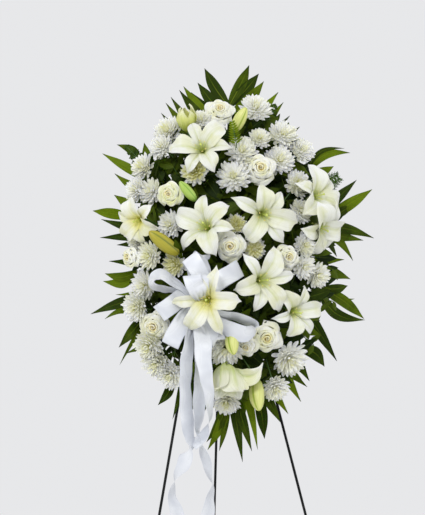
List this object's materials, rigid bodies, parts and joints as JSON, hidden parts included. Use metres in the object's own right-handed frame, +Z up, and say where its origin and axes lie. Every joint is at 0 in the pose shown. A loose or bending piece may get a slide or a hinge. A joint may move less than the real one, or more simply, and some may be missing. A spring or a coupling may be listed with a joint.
{
  "type": "standing funeral spray on a wire easel",
  "caption": "Standing funeral spray of white lilies, roses and chrysanthemums with palm leaves and a white satin bow, in floral foam on a folding black wire easel.",
  "frame": {"origin": "middle of the whole outline seen from above, on the floor under the easel's feet", "axes": "+Z up, -Y towards the front that the blooms face, +X to the right of someone who looks at the front"},
  "size_m": [0.7653, 0.6361, 1.7532],
  "materials": {
    "black_wire": "satin",
    "green_plastic": "satin",
    "floral_foam": "matte",
    "palm_leaf": "satin",
    "fern_leaf": "matte",
    "chrysanthemum_petal": "matte",
    "rose_petal": "matte",
    "lily_petal": "satin",
    "lily_bud": "satin",
    "white_satin": "satin"
  },
  "bodies": {
    "stand": {"front_leg_left": "black_wire", "front_leg_right": "black_wire", "pivot_pin": "black_wire", "upper_rail": "black_wire", "lower_rail": "black_wire", "foam_tray": "green_plastic", "foam_block": "floral_foam", "frond_top": "palm_leaf", "frond_bottom": "palm_leaf", "frond_upper_right": "palm_leaf", "frond_right": "palm_leaf", "frond_right_low": "palm_leaf", "frond_lower_right": "palm_leaf", "frond_bottom_right": "palm_leaf", "frond_upper_left": "palm_leaf", "frond_left": "palm_leaf", "frond_left_middle": "palm_leaf", "frond_left_low": "palm_leaf", "frond_bottom_left": "palm_leaf", "fern_right": "fern_leaf", "fern_top": "fern_leaf", "fern_left": "fern_leaf", "mum_top_left": "chrysanthemum_petal", "mum_left_high": "chrysanthemum_petal", "mum_top": "chrysanthemum_petal", "mum_top_right": "chrysanthemum_petal", "mum_right_high": "chrysanthemum_petal", "mum_right": "chrysanthemum_petal", "mum_upper": "chrysanthemum_petal", "mum_middle": "chrysanthemum_petal", "mum_left": "chrysanthemum_petal", "mum_left_middle": "chrysanthemum_petal", "mum_left_low": "chrysanthemum_petal", "mum_right_low": "chrysanthemum_petal", "mum_bottom": "chrysanthemum_petal", "mum_under_bow": "chrysanthemum_petal", "rose_top": "rose_petal", "rose_left": "rose_petal", "rose_upper": "rose_petal", "rose_middle": "rose_petal", "rose_left_low": "rose_petal", "rose_pair": "rose_petal", "rose_right": "rose_petal", "rose_left_edge": "rose_petal", "lily_top": "lily_petal", "lily_upper_left": "lily_petal", "lily_upper_right": "lily_petal", "lily_bow": "lily_petal", "lily_lower_right": "lily_petal", "lily_right_low": "lily_petal", "lily_bottom": "lily_petal", "lily_left": "lily_petal", "lily_right_high": "lily_petal", "lily_right_edge": "lily_petal", "bud_top": "lily_bud", "bud_under_bow": "lily_bud", "ribbon_bow": "white_satin"},
    "rear_leg": {"rear_leg": "black_wire"}
  },
  "joints": [
    {"name": "rear_leg_fold", "type": "hinge", "parent": "stand", "child": "rear_leg", "pos_m": [-0.011, 0.05649, 1.386], "axis": [-1, 0, 0], "range_deg": [0, 14]}
  ]
}
